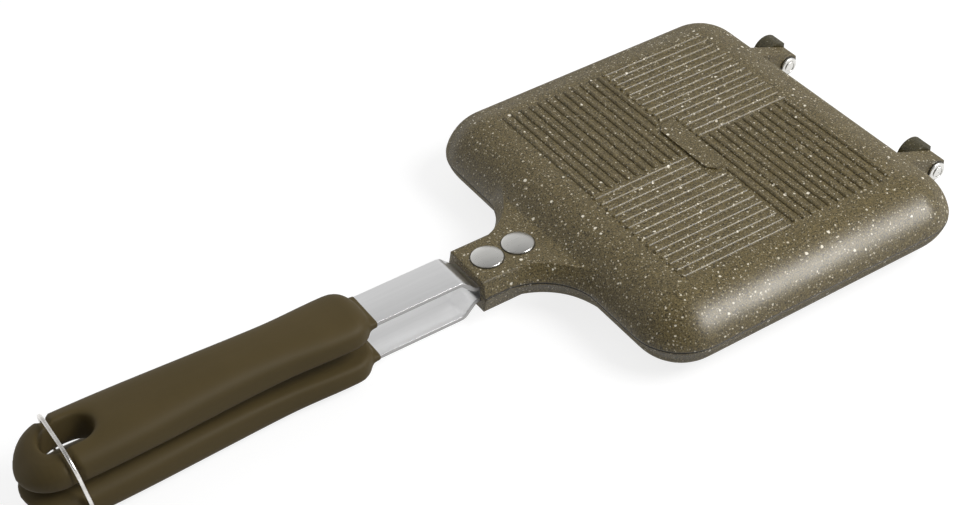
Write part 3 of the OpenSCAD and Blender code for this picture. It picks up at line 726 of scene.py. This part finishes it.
def close_pocket(builder, levels):
    """Remove the pocket's walls and cap its mouth in the collar."""
    def inside(corner):
        x, y, z = corner.co / MM
        return (POCKET_X[0] < x < POCKET_X[1] and POCKET_Y[0] < y < POCKET_Y[1]
                and levels[0] - 0.05 < z < levels[1] + 0.05)
    walls = [face for face in builder.faces if all(inside(corner) for corner in face.verts)]
    bmesh.ops.delete(builder, geom=walls, context="FACES")
    open_edges = [edge for edge in builder.edges if len(edge.link_faces) == 1]
    bmesh.ops.holes_fill(builder, edges=open_edges, sides=0)


# %% Even skin
def even_skin(builder, name):
    """The same shape as one voxel-remeshed skin. The given bmesh is used up."""
    rough = bpy.data.meshes.new(name + "_rough")
    builder.to_mesh(rough)
    builder.free()
    shape = bpy.data.objects.new(name + "_rough", rough)
    scene.collection.objects.link(shape)
    skin = shape.modifiers.new("skin", "REMESH")
    skin.mode = "VOXEL"
    skin.voxel_size = 0.5 * MM
    depsgraph = bpy.context.evaluated_depsgraph_get()
    even = bpy.data.meshes.new_from_object(shape.evaluated_get(depsgraph))
    bpy.data.objects.remove(shape)
    builder = bmesh.new()
    builder.from_mesh(even)
    return builder


# %% [markdown]
# Smoothing rolls the edges of the skin: a little everywhere, a lot at the hole, and more in the
# collar. The far inner edges at the end are rolled most, in three steps that reach less and less
# far, so that no crease shows where the rolling stops. In the photo, light comes in there.

# %% Rolled edges
HOLE_X, HOLE_REACH, HOLE_WIDE = -251.85, 3.0, 6.25
COLLAR_X = -149.5
RIM_REACH, RIM_TURNS = 4.4, 60
SKIN_TURNS, COLLAR_TURNS = 3, 10
INNER_STEPS = ((6.5, 34), (5.0, 34), (3.8, 40))


def near_hole(corner):
    """Distance in mm from the wall of the hanging hole, seen from above."""
    x, y = corner.co.x / MM - HOLE_X, corner.co.y / MM
    along = max(0.0, abs(x) - HOLE_REACH)
    return abs(math.hypot(along, y) - HOLE_WIDE)


def soften(builder, corners, turns):
    """Move the corners half way towards their neighbours, a number of times."""
    for turn in range(turns):
        bmesh.ops.smooth_vert(builder, verts=corners, factor=0.5,
                              use_axis_x=True, use_axis_y=True, use_axis_z=True)


def roll_edges(builder):
    soften(builder, builder.verts, SKIN_TURNS)
    soften(builder, [corner for corner in builder.verts if near_hole(corner) < RIM_REACH],
           RIM_TURNS)
    for reach, turns in INNER_STEPS:
        inner_end = [corner for corner in builder.verts
                     if abs(corner.co.x / MM - HOLE_X) < 8 + reach * 1.4
                     and corner.co.y > (6.5 - reach) * MM
                     and abs(corner.co.z / MM - CLOSING_Z) < reach]
        soften(builder, inner_end, turns)
    soften(builder, [corner for corner in builder.verts if corner.co.x > COLLAR_X * MM],
           COLLAR_TURNS)


# %% [markdown]
# The shut wire lies in a shallow bed across the upper grip, which shows as a notch in the outline
# and a dark line beside the wire. A tree of the wire's faces gives each corner's distance from
# the wire, and the nearer a corner is, the further it is pressed in.

# %% The wire's bed
BED_REACH, BED_DEPTH, BED_ABOVE = 2.1 * MM, 1.4 * MM, 18 * MM
wire_shape = merged("wire_clip")
wire_tree = BVHTree.FromBMesh(wire_shape)
wire_shape.free()


def press_groove(builder):
    """Press the shut wire's bed into the skin near it."""
    builder.normal_update()
    pressed = []
    for corner in builder.verts:
        if corner.co.z > BED_ABOVE:
            distance = wire_tree.find_nearest(corner.co, BED_REACH)[3]
            if distance is not None:
                pressed.append((corner, corner.normal * -BED_DEPTH * (1 - distance / BED_REACH)))
    for corner, step in pressed:
        corner.co += step
    print("corners in the wire's bed:", len(pressed))


# %% Grips
STRAP_LEVELS = (6.9, 8.5)


def soft_grip(name, levels):
    builder = merged(name)
    close_pocket(builder, levels)
    builder = even_skin(builder, name)
    roll_edges(builder)
    press_groove(builder)
    return finish_piece(builder, name, silicone, angle=180)


soft_grip("upper_grip", (CLOSING_Z + STRAP_LEVELS[0], CLOSING_Z + STRAP_LEVELS[1]))
soft_grip("lower_grip", (CLOSING_Z - STRAP_LEVELS[1], CLOSING_Z - STRAP_LEVELS[0]))
